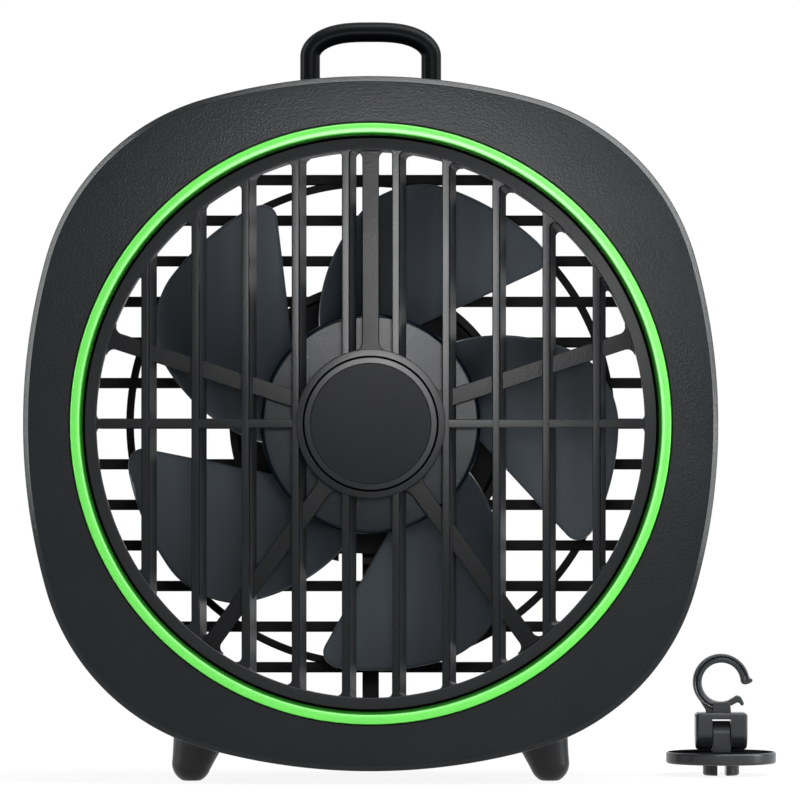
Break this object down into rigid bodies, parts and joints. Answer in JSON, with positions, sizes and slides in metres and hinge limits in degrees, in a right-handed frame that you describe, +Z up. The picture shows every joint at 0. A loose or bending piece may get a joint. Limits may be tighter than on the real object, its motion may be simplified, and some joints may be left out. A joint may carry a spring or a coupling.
{
  "type": "clip fan",
  "caption": "Portable rounded-square fan with louvred front grille, accent ring, folding top handle, peg feet and a loose pole hook that plugs into its back.",
  "frame": {"origin": "on the floor under the middle of the whole set, the fan on its feet and the hook standing at its right", "axes": "+Z up; +Y from the grille's face to the back; +X to the right as seen from the front"},
  "size_m": [0.2328, 0.0738, 0.2345],
  "materials": {
    "frame_plastic": "fine leather grain",
    "accent_green": "smooth gloss",
    "grille_plastic": "fine grain",
    "impeller_plastic": "satin",
    "shell_plastic": "fine grain",
    "handle_black": "satin gloss",
    "foot_rubber": "smooth",
    "hook_plastic": "satin",
    "steel": "plain",
    "magnet": "sintered",
    "motor_paint": "satin black",
    "copper": "enamelled wire",
    "board_green": "solder mask",
    "cell_sleeve": "shrink sleeve",
    "contact_plate": "plated",
    "switch_plastic": "plain",
    "button_green": "smooth gloss"
  },
  "bodies": {
    "housing": {"front_frame": "frame_plastic", "accent_ring": "accent_green", "front_grille": "grille_plastic", "grille_cap": "grille_plastic", "rear_shell": "shell_plastic", "rear_grille": "shell_plastic", "hub_cover": "shell_plastic", "motor_base": "motor_paint", "front_bearing": "steel", "rear_bearing": "steel", "stator_core": "steel", "stator_coils": "copper", "motor_board": "board_green", "motor_screws": "steel", "housing_screws": "steel", "left_cell": "cell_sleeve", "right_cell": "cell_sleeve", "cell_contacts": "contact_plate", "control_board": "board_green", "power_switch": "switch_plastic", "usb_socket": "steel", "handle_pins": "steel", "front_left_foot": "foot_rubber", "front_right_foot": "foot_rubber", "rear_left_foot": "foot_rubber", "rear_right_foot": "foot_rubber"},
    "rotor": {"impeller": "impeller_plastic", "rotor_yoke": "steel", "rotor_magnet": "magnet", "motor_shaft": "steel", "shaft_clip": "steel"},
    "button": {"power_button": "button_green", "switch_plunger": "switch_plastic"},
    "handle": {"handle": "handle_black"},
    "hook_stand": {"hook_base": "hook_plastic"},
    "hook_arm": {"hook": "hook_plastic", "hook_pin": "steel"}
  },
  "joints": [
    {"name": "impeller_spin", "type": "hinge", "parent": "housing", "child": "rotor", "pos_m": [-0.01045, -0.00625, 0.11], "axis": [0, 1, 0], "continuous": true},
    {"name": "power_press", "type": "slide", "parent": "housing", "child": "button", "axis": [0, -1, 0], "range_m": [0, 0.0008], "stiffness_N_per_m": 1200},
    {"name": "handle_fold", "type": "hinge", "parent": "housing", "child": "handle", "pos_m": [-0.01045, -0.00825, 0.2112], "axis": [-1, 0, 0], "range_deg": [0, 90]},
    {"name": "hook_swivel", "type": "hinge", "parent": "housing", "child": "hook_stand", "pos_m": [0.09925, 0.01975, 0], "axis": [0, 0, 1], "continuous": true},
    {"name": "hook_tilt", "type": "hinge", "parent": "hook_stand", "child": "hook_arm", "pos_m": [0.09925, 0.01975, 0.013], "axis": [1, 0, 0], "range_deg": [-90, 90]}
  ]
}
